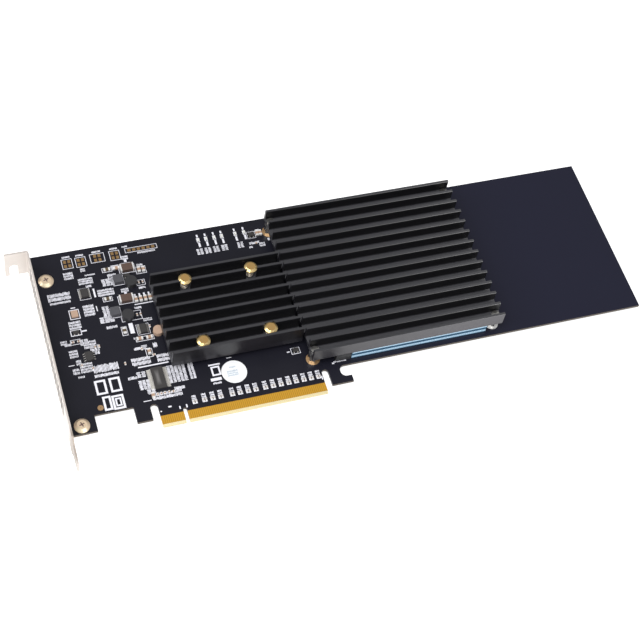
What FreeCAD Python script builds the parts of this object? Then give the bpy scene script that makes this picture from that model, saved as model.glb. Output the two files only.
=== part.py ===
import FreeCAD, Part
import math
import os

import Sketcher

# Full-length adapter card, component side up.
# Origin: middle of the key notch, on the bottom edge of the edge connector, at the component face.
# +X runs to the free end of the card, +Y up from the edge connector, +Z out of the component side.

os.makedirs("parts", exist_ok=True)
doc = FreeCAD.newDocument("adapter_card")
sheet = doc.addObject("Spreadsheet::Sheet", "sizes")

# Driving sizes in millimetres
SIZES = {
    "zero": 0.0,
    # board outline
    "board_left": -57.15,
    "board_right": 255.45,
    "board_top": 111.15,
    "board_low": 13.9,
    "board_thick": 1.57,
    "leg_right": -43.75,
    "leg_low": 5.1,
    "guide_left": -24.3,
    "tongue_left": -12.6,
    "tongue_width": 85.2,
    "front_slot_width": 3.8,
    "rear_slot_width": 3.47,
    "slot_top": 13.4,
    "key_width": 1.9,
    "key_top": 8.2,
    "hook_neck_width": 6.23,
    "hook_width": 11.43,
    "hook_low": 4.0,
    "hook_arm_top": 7.55,
    "bevel_length": 1.4,
    "bevel_depth": 0.5,
    # edge contacts
    "contact_pitch": 1.0,
    "contact_width": 0.7,
    "contact_skin": 0.04,
    "contact_top": 6.0,
    "contact_first": 1.5,
    "contacts_short": 11.0,
    "contacts_long": 71.0,
    # bracket sheet
    "sheet_thick": 0.86,
    "bracket_gap": 0.3,
    "bracket_width": 18.42,
    "bracket_top": 105.0,
    "bracket_tip": -15.02,
    "plate_low": -3.0,
    "shoulder_drop": 3.0,
    "foot_width": 10.2,
    "foot_taper": 1.1,
    "tab_depth": 11.43,
    "tab_notch_width": 4.42,
    "tab_notch_reach": 7.0,
    "tab_notch_end": 6.3,
    "bend_outer": 1.36,
    "bend_inner": 0.5,
    "ear_length": 11.0,
    "ear_width": 8.2,
    "ear_corner": 2.4,
    "ear_hole_radius": 1.5,
    "relief_width": 1.0,
    "relief_depth": 1.9,
    "ear_low_y": 9.3,
    "ear_pitch": 85.73,
    "vent_first_y": 17.0,
    "vent_pitch": 3.43,
    "vent_count": 24.0,
    "vent_width": 1.7,
    "vent_near_z": 1.2,
    "vent_far_z": 12.6,
    # bracket screws
    "screw_x": -50.8,
    "screw_clearance": 0.05,
    "screw_board_clearance": 0.15,
    "screw_head_radius": 3.9,
    "screw_head_rim": 0.7,
    "screw_head_rise": 2.0,
    "screw_crown_radius": 2.5,
    "screw_below": 0.9,
    # small heatsink
    "switch_sink_left": -0.8,
    "switch_sink_length": 68.1,
    "switch_fin_count": 8.0,
    "switch_sink_low": 3.0,
    "switch_sink_base": 3.4,
    "fin_root": 1.9,
    "fin_tip": 1.25,
    "fin_corner": 0.3,
    "switch_fin_clear": 3.5,
    # push pins
    "pin_inset_x": 16.9,
    "pin_inset_far": 16.2,
    "pin_low_y": 35.85,
    "pin_pitch_y": 37.7,
    "pin_shank_radius": 1.25,
    "pin_hole_clearance": 0.2,
    "pin_head_radius": 3.4,
    "pin_head_flat": 2.3,
    "pin_head_low": 12.7,
    "pin_head_rim": 13.3,
    "pin_head_top": 14.2,
    "pin_barb_radius": 1.9,
    "pin_barb_length": 2.6,
    "pin_barb_tip": 0.8,
    "spring_inner": 1.6,
    "spring_outer": 2.2,
    # switch chip
    "chip_side": 33.0,
    "chip_substrate": 1.5,
    "chip_lid_side": 27.0,
    "chip_lid": 1.1,
    "chip_pad_side": 25.0,
    # large heatsink
    "sink_gap": 1.0,
    "drive_sink_length": 104.8,
    "drive_fin_first": 105.5,
    "drive_fin_pitch": 6.78,
    "drive_fin_count": 14.0,
    "fins_beyond": 4.0,
    "switch_fin_shift": 0.6,
    "drive_sink_low": 6.2,
    "drive_sink_base": 2.0,
    "drive_sink_high": 14.47,
    "post_inset": 2.2,
    "post_inset_far": 3.0,
    "post_width": 5.0,
    "post_bore": 1.25,
    "post_bore_depth": 3.0,
    "post_screw_clearance": 0.1,
    "post_screw_head": 2.1,
    "post_screw_rise": 1.4,
    "post_screw_reach": 1.9,
    # drive bays
    "bay_first_y": 27.65,
    "bay_pitch": 22.0,
    "bay_count": 4.0,
    "pad_gap": 0.5,
    "pad_clear": 3.3,
    "pad_width": 21.6,
    "lower_pad": 2.9,
    "upper_pad": 2.4,
    "socket_inset": 13.2,
    "socket_length": 8.0,
    "socket_width": 21.9,
    "socket_height": 5.2,
    "socket_mouth_width": 20.0,
    "socket_mouth_low": 2.8,
    "socket_mouth_height": 1.0,
    "socket_mouth_depth": 4.6,
    "drive_post_inset": 1.8,
    "pad_skin": 0.05,
    "drive_post_width": 5.0,
    "drive_post_height": 2.9,
    "drive_post_bore": 1.0,
    "drive_post_bore_depth": 2.4,
    # flash chip
    "flash_x": -8.5,
    "flash_y": 27.1,
    "flash_width": 6.0,
    "flash_length": 12.2,
    "flash_thick": 1.0,
    "flash_lead_pitch": 0.5,
    "flash_lead_count": 23.0,
    "flash_lead_span": 9.0,
    # round label
    "label_x": 29.3,
    "label_y": 22.4,
    "label_radius": 6.5,
    "label_thick": 0.1,
    # small parts
    "lead_width": 0.24,
    "lead_thick": 0.16,
    "controller_high": 1.45,
    "controller_lead_reach": 1.05,
    "regulator_high": 1.1,
    "tab_high": 0.25,
    "square_coil_side": 4.8,
    "square_coil_high": 2.4,
    "round_coil_radius": 3.1,
    "round_coil_high": 3.0,
    "tantalum_length": 7.0,
    "tantalum_width": 4.2,
    "tantalum_high": 2.2,
    "round_cap_radius": 2.6,
    "round_cap_high": 2.6,
    "coupling_half": 0.62,
    "coupling_y": 10.2,
}

# Sizes that follow from the ones above
DERIVED = {
    "tongue_right": "=tongue_left + tongue_width",
    "guide_right": "=tongue_left - front_slot_width",
    "hook_left": "=tongue_right + rear_slot_width",
    "hook_neck": "=hook_left + hook_neck_width",
    "hook_right": "=hook_left + hook_width",
    "key_left": "=-key_width / 2",
    "key_right": "=key_width / 2",
    "front_slot_round": "=0.49 * front_slot_width",
    "rear_slot_round": "=0.49 * rear_slot_width",
    "key_round": "=0.49 * key_width",
    "hook_gap_round": "=0.45 * (board_low - hook_arm_top)",
    "solder_face": "=-board_thick",
    "bevel_z": "=-bevel_depth",
    "bevel_solder_z": "=bevel_depth - board_thick",
    "solder_skin": "=-board_thick - contact_skin",
    "contact_first_short": "=-contact_first",
    "plate_inner": "=board_left - bracket_gap",
    "plate_outer": "=plate_inner - sheet_thick",
    "bracket_low_z": "=-board_thick - sheet_thick",
    "bracket_high_z": "=bracket_low_z + bracket_width",
    "tab_under": "=bracket_top - sheet_thick",
    "tab_end": "=plate_outer - tab_depth",
    "foot_near_z": "=bracket_low_z + (bracket_width - foot_width) / 2",
    "foot_far_z": "=bracket_high_z - (bracket_width - foot_width) / 2",
    "foot_tip_near_z": "=foot_near_z + foot_taper",
    "foot_tip_far_z": "=foot_far_z - foot_taper",
    "shoulder_y": "=plate_low - shoulder_drop",
    "tab_notch_x": "=plate_outer - tab_notch_reach",
    "tab_notch_open_z": "=bracket_low_z - tab_notch_width",
    "tab_notch_radius": "=tab_notch_width / 2",
    "tab_notch_centre_z": "=tab_notch_end - tab_notch_radius",
    "ear_end": "=plate_inner + ear_length",
    "ear_high_y": "=ear_low_y + ear_pitch",
    "ear_low_edge": "=ear_low_y - ear_width / 2",
    "ear_upper_low_edge": "=ear_high_y - ear_width / 2",
    "ear_upper_high_edge": "=ear_high_y + ear_width / 2",
    "ear_high_edge": "=ear_low_y + ear_width / 2",
    "relief_low_edge": "=ear_low_edge - relief_width",
    "relief_high_edge": "=ear_high_edge + relief_width",
    "relief_top_z": "=bracket_low_z + relief_depth",
    "relief_open_z": "=bracket_low_z - 1",
    "vent_low_y": "=vent_first_y - vent_width / 2",
    "vent_high_y": "=vent_first_y + vent_width / 2",
    "screw_radius": "=ear_hole_radius - screw_clearance",
    "screw_hole_radius": "=screw_radius + screw_board_clearance",
    "screw_end_z": "=bracket_low_z - screw_below",
    "switch_sink_high": "=drive_sink_high",
    "switch_sink_right": "=switch_sink_left + switch_sink_length",
    "switch_base_top": "=switch_sink_low + switch_sink_base",
    "switch_fin_height": "=switch_sink_high - switch_base_top",
    "switch_fin_first": "=drive_fin_first - fins_beyond * drive_fin_pitch + switch_fin_shift",
    "switch_fin_pitch": "=drive_fin_pitch",
    "switch_fin_last": "=switch_fin_first - (switch_fin_count - 1) * switch_fin_pitch",
    "switch_sink_back": "=switch_fin_first + fin_root / 2",
    "switch_sink_front": "=switch_fin_last - fin_root / 2",
    "switch_root_near": "=switch_fin_first - fin_root / 2",
    "switch_tip_near": "=switch_fin_first - fin_tip / 2",
    "switch_tip_far": "=switch_fin_first + fin_tip / 2",
    "pin_high_y": "=pin_low_y + pin_pitch_y",
    "pin_left_x": "=switch_sink_left + pin_inset_x",
    "pin_right_x": "=switch_sink_right - pin_inset_far",
    "pin_pitch_x": "=pin_right_x - pin_left_x",
    "pin_hole_radius": "=pin_shank_radius + pin_hole_clearance",
    "pin_barb_low": "=-board_thick - pin_barb_length",
    "chip_x": "=(pin_left_x + pin_right_x) / 2",
    "chip_y": "=(pin_low_y + pin_high_y) / 2",
    "chip_lid_top": "=chip_substrate + chip_lid",
    "chip_pad": "=switch_sink_low - chip_lid_top",
    "drive_sink_left": "=switch_sink_right + sink_gap",
    "drive_sink_right": "=drive_sink_left + drive_sink_length",
    "post_left_x": "=drive_sink_left + post_inset",
    "post_right_x": "=drive_sink_right - post_inset_far",
    "post_pitch_x": "=post_right_x - post_left_x",
    "socket_left": "=drive_sink_left + socket_inset",
    "socket_right": "=socket_left + socket_length",
    "drive_post_x": "=post_right_x - drive_post_inset",
    "pad_left": "=socket_right + pad_gap",
    "drive_base_top": "=drive_sink_low + drive_sink_base",
    "drive_fin_last": "=drive_fin_first - (drive_fin_count - 1) * drive_fin_pitch",
    "drive_sink_back": "=drive_fin_first + fin_root / 2",
    "drive_sink_front": "=drive_fin_last - fin_root / 2",
    "drive_root_near": "=drive_fin_first - fin_root / 2",
    "drive_tip_near": "=drive_fin_first - fin_tip / 2",
    "drive_tip_far": "=drive_fin_first + fin_tip / 2",
    "post_width_corner": "=post_width / 1.7320508",
    "drive_post_width_corner": "=drive_post_width / 1.7320508",
    "post_low_y": "=drive_fin_last + drive_fin_pitch / 2",
    "post_pitch_y": "=(drive_fin_count - 2) * drive_fin_pitch",
    "post_high_y": "=post_low_y + post_pitch_y",
    "post_screw_radius": "=post_bore - 0.05",
    "post_hole_radius": "=post_screw_radius + post_screw_clearance",
    "post_screw_top": "=drive_base_top + post_screw_rise",
    "post_screw_end": "=drive_sink_low - post_screw_reach",
    "spring_length": "=pin_head_low - switch_base_top",
    "drive_fin_height": "=drive_sink_high - drive_base_top",
    "upper_pad_low": "=drive_sink_low - upper_pad",
    "bay_front_y": "=bay_first_y - pad_width / 2",
    "bay_back_y": "=bay_first_y + pad_width / 2",
    "pad_right": "=drive_post_x - pad_clear",
    "socket_front": "=bay_first_y - socket_width / 2",
    "socket_back": "=bay_first_y + socket_width / 2",
    "mouth_front": "=bay_first_y - socket_mouth_width / 2",
    "mouth_back": "=bay_first_y + socket_mouth_width / 2",
    "mouth_high": "=socket_mouth_low + socket_mouth_height",
    "flash_left": "=flash_x - flash_width / 2",
    "flash_right": "=flash_x + flash_width / 2",
    "flash_front": "=flash_y - flash_length / 2",
    "flash_back": "=flash_y + flash_length / 2",
}
for row, (alias, value) in enumerate({**SIZES, **DERIVED}.items(), start=1):
    sheet.set(f"A{row}", alias)
    sheet.set(f"B{row}", str(value))
    sheet.setAlias(f"B{row}", alias)
doc.recompute()


def number(alias):
    """Value of one named size."""
    return float(sheet.get(alias))


def new_body(label):
    """Body that becomes one named piece of the card."""
    body = doc.addObject("PartDesign::Body", label)
    body.Label = label
    return body


def new_sketch(body, role, name, level=None):
    """Empty sketch on one of the body's own planes, raised to a named level."""
    sketch = body.newObject("Sketcher::SketchObject", name)
    plane = next(part for part in body.Origin.OriginFeatures if part.Role == role)
    sketch.AttachmentSupport = [(plane, "")]
    sketch.MapMode = "FlatFace"
    if level:
        sketch.setExpression("AttachmentOffset.Base.z", "sizes." + level)
    return sketch


def pin_point(sketch, geometry, point, across, along):
    """Ties one point of a sketch to two named sizes."""
    for kind, alias in (("DistanceX", across), ("DistanceY", along)):
        rule = Sketcher.Constraint(kind, -1, 1, geometry, point, number(alias))
        index = sketch.addConstraint(rule)
        sketch.setExpression(f"Constraints[{index}]", "sizes." + alias)


def draw_polygon(sketch, corners):
    """Closed straight outline through corners given as pairs of size names."""
    first = sketch.GeometryCount
    points = [FreeCAD.Vector(number(a), number(b), 0) for a, b in corners]
    count = len(points)
    for k in range(count):
        sketch.addGeometry(Part.LineSegment(points[k], points[(k + 1) % count]))
    for k in range(count):
        follower = first + (k + 1) % count
        sketch.addConstraint(Sketcher.Constraint("Coincident", first + k, 2, follower, 1))
    for k, (across, along) in enumerate(corners):
        pin_point(sketch, first + k, 1, across, along)


def draw_box(sketch, left, right, low, high):
    """Upright rectangle between four size names."""
    draw_polygon(sketch, [(left, low), (right, low), (right, high), (left, high)])


def draw_circle(sketch, across, along, radius):
    """Circle with its centre and radius given by size names."""
    centre = FreeCAD.Vector(number(across), number(along), 0)
    normal = FreeCAD.Vector(0, 0, 1)
    index = sketch.addGeometry(Part.Circle(centre, normal, number(radius)))
    pin_point(sketch, index, 3, across, along)
    rule = sketch.addConstraint(Sketcher.Constraint("Radius", index, number(radius)))
    sketch.setExpression(f"Constraints[{rule}]", "sizes." + radius)


def draw_slot(sketch, across, low, high, radius):
    """Upright round-ended slot; low and high are the centres of its ends."""
    middle = number(across)
    bottom = number(low)
    top = number(high)
    reach = number(radius)
    normal = FreeCAD.Vector(0, 0, 1)
    first = sketch.GeometryCount
    upper = Part.Circle(FreeCAD.Vector(middle, top, 0), normal, reach)
    lower = Part.Circle(FreeCAD.Vector(middle, bottom, 0), normal, reach)
    sketch.addGeometry(Part.ArcOfCircle(upper, 0, math.pi))
    sketch.addGeometry(Part.LineSegment(FreeCAD.Vector(middle - reach, top, 0),
                                        FreeCAD.Vector(middle - reach, bottom, 0)))
    sketch.addGeometry(Part.ArcOfCircle(lower, math.pi, 2 * math.pi))
    sketch.addGeometry(Part.LineSegment(FreeCAD.Vector(middle + reach, bottom, 0),
                                        FreeCAD.Vector(middle + reach, top, 0)))
    for one, two, three, four in ((0, 2, 1, 1), (1, 2, 2, 1), (2, 2, 3, 1), (3, 2, 0, 1)):
        sketch.addConstraint(Sketcher.Constraint("Tangent", first + one, two, first + three, four))
    pin_point(sketch, first, 3, across, high)
    pin_point(sketch, first + 2, 3, across, low)
    rule = sketch.addConstraint(Sketcher.Constraint("Radius", first, reach))
    sketch.setExpression(f"Constraints[{rule}]", "sizes." + radius)


def extrude(body, kind, sketch, length, name, midplane=False, reverse=False):
    """Pad or pocket of a sketch; a length of None goes through everything."""
    feature = body.newObject("PartDesign::" + kind, name)
    feature.Profile = sketch
    feature.Midplane = midplane
    feature.Reversed = reverse
    if length is None:
        feature.Type = "ThroughAll"
    else:
        feature.setExpression("Length", "sizes." + length)
    body.Tip = feature
    doc.recompute()
    return feature


def revolve(body, sketch, name):
    """Full turn of a sketch about its own upright axis."""
    feature = body.newObject("PartDesign::Revolution", name)
    feature.Profile = sketch
    feature.ReferenceAxis = (sketch, ["V_Axis"])
    feature.Angle = 360
    body.Tip = feature
    doc.recompute()
    return feature


def turned(label, profile, centre_x, centre_y):
    """Body turned about an upright axis; profile corners are (radius, level) size names."""
    body = new_body(label)
    half = new_sketch(body, "XZ_Plane", label + "_profile")
    draw_polygon(half, profile)
    revolve(body, half, label + "_turned")
    body.setExpression("Placement.Base.x", "sizes." + centre_x)
    body.setExpression("Placement.Base.y", "sizes." + centre_y)
    return body


def repeat_whole(body, direction, pitch, count, name):
    """Row of copies of everything the body holds so far."""
    feature = body.newObject("PartDesign::LinearPattern", name)
    feature.TransformMode = "Whole shape"
    axis = next(part for part in body.Origin.OriginFeatures if part.Role == direction)
    feature.Direction = (axis, [""])
    body.Tip = feature
    feature.Mode = "Spacing"
    feature.setExpression("Offset", "sizes." + pitch)
    feature.Occurrences = count
    doc.recompute()
    return feature


def repeat(body, features, direction, pitch, count, name, back=False):
    """Row of copies along one of the body's axes."""
    feature = body.newObject("PartDesign::LinearPattern", name)
    feature.Originals = features
    axis = next(part for part in body.Origin.OriginFeatures if part.Role == direction)
    feature.Direction = (axis, [""])
    feature.Reversed = back
    body.Tip = feature
    feature.Mode = "Spacing"
    if isinstance(pitch, str):
        feature.setExpression("Offset", "sizes." + pitch)
    if isinstance(count, str):
        feature.setExpression("Occurrences", "sizes." + count)
    else:
        feature.Occurrences = count
    doc.recompute()
    return feature


def round_edges(body, radius, wanted, name, kind="Fillet"):
    """Fillet or chamfer on the edges for which wanted(edge) is true."""
    base = body.Tip
    names = [f"Edge{k}" for k, edge in enumerate(base.Shape.Edges, start=1) if wanted(edge)]
    feature = body.newObject("PartDesign::" + kind, name)
    feature.Base = (base, names)
    feature.setExpression("Radius" if kind == "Fillet" else "Size", "sizes." + radius)
    body.Tip = feature
    doc.recompute()
    return feature


def upright_at(*places):
    """Test for straight edges along Z that stand at any of the given (x, y) places."""
    spots = [(number(a), number(b)) for a, b in places]

    def wanted(edge):
        box = edge.BoundBox
        if box.ZLength < 0.1 or box.XLength > 0.001 or box.YLength > 0.001:
            return False
        return any(abs(box.XMin - x) < 0.01 and abs(box.YMin - y) < 0.01 for x, y in spots)

    return wanted


# Printed circuit board: outline with leg, guide tab, edge connector tongue and rear hook
board = new_body("printed_circuit_board")
outline = new_sketch(board, "XY_Plane", "board_outline", "solder_face")
draw_polygon(outline, [
    ("board_left", "board_top"),
    ("board_left", "leg_low"),
    ("leg_right", "leg_low"),
    ("leg_right", "board_low"),
    ("guide_left", "board_low"),
    ("guide_left", "leg_low"),
    ("guide_right", "leg_low"),
    ("guide_right", "slot_top"),
    ("tongue_left", "slot_top"),
    ("tongue_left", "zero"),
    ("key_left", "zero"),
    ("key_left", "key_top"),
    ("key_right", "key_top"),
    ("key_right", "zero"),
    ("tongue_right", "zero"),
    ("tongue_right", "slot_top"),
    ("hook_left", "slot_top"),
    ("hook_left", "hook_low"),
    ("hook_right", "hook_low"),
    ("hook_right", "hook_arm_top"),
    ("hook_neck", "hook_arm_top"),
    ("hook_neck", "board_low"),
    ("board_right", "board_low"),
    ("board_right", "board_top"),
])
extrude(board, "Pad", outline, "board_thick", "board_sheet")
round_edges(board, "front_slot_round",
            upright_at(("guide_right", "slot_top"), ("tongue_left", "slot_top")), "front_slot_end")
round_edges(board, "rear_slot_round",
            upright_at(("tongue_right", "slot_top"), ("hook_left", "slot_top")), "rear_slot_end")
round_edges(board, "key_round",
            upright_at(("key_left", "key_top"), ("key_right", "key_top")), "key_notch_end")
round_edges(board, "hook_gap_round",
            upright_at(("hook_neck", "hook_arm_top"), ("hook_neck", "board_low")), "hook_gap_end")
bevel = new_sketch(board, "YZ_Plane", "edge_bevel")
draw_polygon(bevel, [("zero", "zero"), ("bevel_length", "zero"), ("zero", "bevel_z")])
draw_polygon(bevel, [("zero", "solder_face"), ("bevel_length", "solder_face"),
                     ("zero", "bevel_solder_z")])
extrude(board, "Pocket", bevel, None, "edge_bevels", midplane=True)
holes = new_sketch(board, "XY_Plane", "board_hole_circles")
for spot in ("ear_low_y", "ear_high_y"):
    draw_circle(holes, "screw_x", spot, "screw_hole_radius")
for across in ("pin_left_x", "pin_right_x"):
    for along in ("pin_low_y", "pin_high_y"):
        draw_circle(holes, across, along, "pin_hole_radius")
extrude(board, "Pocket", holes, None, "board_holes", midplane=True)


# Edge contacts: thin gilt strips above the bevel, one row on each side of the board
def contact_row(label, face, skin):
    """Two groups of strips, one on each side of the key notch."""
    body = new_body(label)
    groups = (("contact_first_short", "contacts_short", True),
              ("contact_first", "contacts_long", False))
    for start, count, back in groups:
        strip = new_sketch(body, "YZ_Plane", label + "_strip", start)
        draw_polygon(strip, [("contact_top", face), ("bevel_length", face), ("bevel_length", skin),
                             ("contact_top", skin)])
        single = extrude(body, "Pad", strip, "contact_width", label + "_single", midplane=True)
        repeat(body, [single], "X_Axis", "contact_pitch", count, label + "_row", back)
    return body


contact_row("contacts_component_side", "zero", "contact_skin")
contact_row("contacts_solder_side", "solder_face", "solder_skin")

# Bracket: folded steel sheet with screw tab, vented plate, foot and two ears
bracket = new_body("bracket")
fold = new_sketch(bracket, "XY_Plane", "bracket_fold", "bracket_low_z")
draw_polygon(fold, [
    ("plate_inner", "plate_low"),
    ("plate_inner", "bracket_top"),
    ("tab_end", "bracket_top"),
    ("tab_end", "tab_under"),
    ("plate_outer", "tab_under"),
    ("plate_outer", "plate_low"),
])
extrude(bracket, "Pad", fold, "bracket_width", "bracket_plate_and_tab")
round_edges(bracket, "bend_outer", upright_at(("plate_inner", "bracket_top")), "tab_bend_outside")
round_edges(bracket, "bend_inner", upright_at(("plate_outer", "tab_under")), "tab_bend_inside")
foot = new_sketch(bracket, "YZ_Plane", "bracket_foot", "plate_outer")
draw_polygon(foot, [
    ("plate_low", "bracket_low_z"),
    ("plate_low", "bracket_high_z"),
    ("shoulder_y", "foot_far_z"),
    ("bracket_tip", "foot_tip_far_z"),
    ("bracket_tip", "foot_tip_near_z"),
    ("shoulder_y", "foot_near_z"),
])
extrude(bracket, "Pad", foot, "sheet_thick", "foot")
ears = new_sketch(bracket, "XY_Plane", "bracket_ear", "bracket_low_z")
draw_box(ears, "plate_outer", "ear_end", "ear_low_edge", "ear_high_edge")
ear = extrude(bracket, "Pad", ears, "sheet_thick", "ear")
ear_bore = new_sketch(bracket, "XY_Plane", "ear_hole_circle", "solder_face")
draw_circle(ear_bore, "screw_x", "ear_low_y", "ear_hole_radius")
ear_hole = extrude(bracket, "Pocket", ear_bore, "sheet_thick", "ear_hole")
reliefs = new_sketch(bracket, "YZ_Plane", "ear_reliefs", "plate_inner")
draw_box(reliefs, "relief_low_edge", "ear_low_edge", "relief_open_z", "relief_top_z")
draw_box(reliefs, "ear_high_edge", "relief_high_edge", "relief_open_z", "relief_top_z")
relief = extrude(bracket, "Pocket", reliefs, "sheet_thick", "ear_relief")
repeat(bracket, [ear, ear_hole, relief], "Y_Axis", "ear_pitch", 2, "ears")
notch = new_sketch(bracket, "XZ_Plane", "tab_notch_outline")
draw_slot(notch, "tab_notch_x", "tab_notch_open_z", "tab_notch_centre_z", "tab_notch_radius")
extrude(bracket, "Pocket", notch, None, "tab_notch", midplane=True)
vent = new_sketch(bracket, "YZ_Plane", "vent_outline", "plate_inner")
draw_box(vent, "vent_low_y", "vent_high_y", "vent_near_z", "vent_far_z")
single_vent = extrude(bracket, "Pocket", vent, "sheet_thick", "vent")
repeat(bracket, [single_vent], "Y_Axis", "vent_pitch", "vent_count", "vents")
round_edges(bracket, "ear_corner",
            upright_at(("ear_end", "ear_low_edge"), ("ear_end", "ear_high_edge"),
                       ("ear_end", "ear_upper_low_edge"), ("ear_end", "ear_upper_high_edge")),
            "ear_corners")

# Bracket screws: pan heads on the component side, repeated up the card
screws = turned("bracket_screws", [
    ("zero", "screw_head_rise"),
    ("zero", "screw_end_z"),
    ("screw_radius", "screw_end_z"),
    ("screw_radius", "zero"),
    ("screw_head_radius", "zero"),
    ("screw_head_radius", "screw_head_rim"),
    ("screw_crown_radius", "screw_head_rise"),
], "screw_x", "ear_low_y")
repeat_whole(screws, "Y_Axis", "ear_pitch", 2, "screw_pair")


# Finned heatsinks: an extruded base with tapered fins that run along the card
def finned_sink(kind):
    """Base slab, one tapered fin repeated down the card, and rounded fin roots."""
    body = new_body(kind + "_heatsink")
    slab = new_sketch(body, "XY_Plane", kind + "_base", kind + "_sink_low")
    draw_box(slab, kind + "_sink_left", kind + "_sink_right", kind + "_sink_front", kind + "_sink_back")
    extrude(body, "Pad", slab, kind + "_sink_base", kind + "_slab")
    fin = new_sketch(body, "YZ_Plane", kind + "_fin", kind + "_sink_left")
    draw_polygon(fin, [
        (kind + "_root_near", kind + "_base_top"),
        (kind + "_sink_back", kind + "_base_top"),
        (kind + "_tip_far", kind + "_sink_high"),
        (kind + "_tip_near", kind + "_sink_high"),
    ])
    one_fin = extrude(body, "Pad", fin, kind + "_sink_length", kind + "_one_fin")
    count = int(number(kind + "_fin_count"))
    repeat(body, [one_fin], "Y_Axis", kind + "_fin_pitch", count, kind + "_fins", back=True)
    level = number(kind + "_base_top")
    nearest = number(kind + "_sink_front") + 0.01
    farthest = number(kind + "_sink_back") - 0.01

    def root(edge):
        box = edge.BoundBox
        flat = box.ZLength < 0.001 and box.YLength < 0.001 and abs(box.ZMin - level) < 0.001
        return flat and nearest < box.YMin < farthest

    round_edges(body, "fin_corner", root, kind + "_fin_roots", "Chamfer")
    return body


switch_sink = finned_sink("switch")
clear = new_sketch(switch_sink, "XY_Plane", "fin_clearance", "switch_sink_high")
for across in ("pin_left_x", "pin_right_x"):
    for along in ("pin_low_y", "pin_high_y"):
        draw_circle(clear, across, along, "switch_fin_clear")
extrude(switch_sink, "Pocket", clear, "switch_fin_height", "fin_clearances")
pin_holes = new_sketch(switch_sink, "XY_Plane", "pin_hole_circles")
for across in ("pin_left_x", "pin_right_x"):
    for along in ("pin_low_y", "pin_high_y"):
        draw_circle(pin_holes, across, along, "pin_hole_radius")
extrude(switch_sink, "Pocket", pin_holes, None, "pin_holes", midplane=True)

drive_sink = finned_sink("drive")
post_holes = new_sketch(drive_sink, "XY_Plane", "post_hole_circles")
for across in ("post_left_x", "post_right_x"):
    for along in ("post_low_y", "post_high_y"):
        draw_circle(post_holes, across, along, "post_hole_radius")
extrude(drive_sink, "Pocket", post_holes, None, "post_holes", midplane=True)


def corner_four(body, pitch_x, pitch_y):
    """Repeats the whole body to the four corners of a rectangle."""
    repeat_whole(body, "X_Axis", pitch_x, 2, body.Label + "_pair")
    repeat_whole(body, "Y_Axis", pitch_y, 2, body.Label + "_four")


def draw_ring_polygon(sketch, reach, sides):
    """Regular polygon about the sketch origin; reach names the radius of its corners."""
    first = sketch.GeometryCount
    radius = number(reach)
    points = []
    for k in range(sides):
        angle = math.radians((k + 0.5) * 360 / sides)
        points.append(FreeCAD.Vector(radius * math.cos(angle), radius * math.sin(angle), 0))
    for k in range(sides):
        sketch.addGeometry(Part.LineSegment(points[k], points[(k + 1) % sides]))
    for k in range(sides):
        follower = first + (k + 1) % sides
        sketch.addConstraint(Sketcher.Constraint("Coincident", first + k, 2, follower, 1))
    for k, point in enumerate(points):
        for kind, share in (("DistanceX", point.x / radius), ("DistanceY", point.y / radius)):
            rule = Sketcher.Constraint(kind, -1, 1, first + k, 1, share * radius)
            index = sketch.addConstraint(rule)
            sketch.setExpression(f"Constraints[{index}]", f"sizes.{reach} * {share:.9f}")


def standing(label, level, height, centre_x, centre_y, rings):
    """Straight post or sleeve from polygons of (sides, corner radius)."""
    body = new_body(label)
    plan = new_sketch(body, "XY_Plane", label + "_plan", level)
    for sides, reach in rings:
        draw_ring_polygon(plan, reach, sides)
    extrude(body, "Pad", plan, height, label + "_block")
    body.setExpression("Placement.Base.x", "sizes." + centre_x)
    body.setExpression("Placement.Base.y", "sizes." + centre_y)
    return body


def hexagon_post(label, width, height, bore, depth, centre_x, centre_y):
    """Hexagon post that stands on the board, with a blind tapped hole in its top."""
    body = standing(label, "zero", height, centre_x, centre_y, [(6, width + "_corner")])
    plan = new_sketch(body, "XY_Plane", label + "_bore", height)
    draw_circle(plan, "zero", "zero", bore)
    extrude(body, "Pocket", plan, depth, label + "_tapped_hole")
    return body


# Push pins: turned brass pins, barbed under the board, each with a spring under its head
push_pins = turned("push_pins", [
    ("zero", "pin_head_top"),
    ("zero", "pin_barb_low"),
    ("pin_barb_tip", "pin_barb_low"),
    ("pin_barb_radius", "solder_face"),
    ("pin_shank_radius", "solder_face"),
    ("pin_shank_radius", "pin_head_low"),
    ("pin_head_radius", "pin_head_low"),
    ("pin_head_radius", "pin_head_rim"),
    ("pin_head_flat", "pin_head_top"),
], "pin_left_x", "pin_low_y")
corner_four(push_pins, "pin_pitch_x", "pin_pitch_y")
springs = standing("push_pin_springs", "switch_base_top", "spring_length", "pin_left_x", "pin_low_y",
                   [(8, "spring_outer"), (8, "spring_inner")])
corner_four(springs, "pin_pitch_x", "pin_pitch_y")

# Posts of the large heatsink: tapped hexagon standoffs, and the screws in the heatsink's channels
posts = hexagon_post("heatsink_standoffs", "post_width", "drive_sink_low", "post_bore",
                     "post_bore_depth", "post_left_x", "post_low_y")
corner_four(posts, "post_pitch_x", "post_pitch_y")
post_screws = turned("heatsink_screws", [
    ("zero", "post_screw_top"),
    ("zero", "post_screw_end"),
    ("post_screw_radius", "post_screw_end"),
    ("post_screw_radius", "drive_base_top"),
    ("post_screw_head", "drive_base_top"),
    ("post_screw_head", "post_screw_top"),
], "post_left_x", "post_low_y")
corner_four(post_screws, "post_pitch_x", "post_pitch_y")

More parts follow.
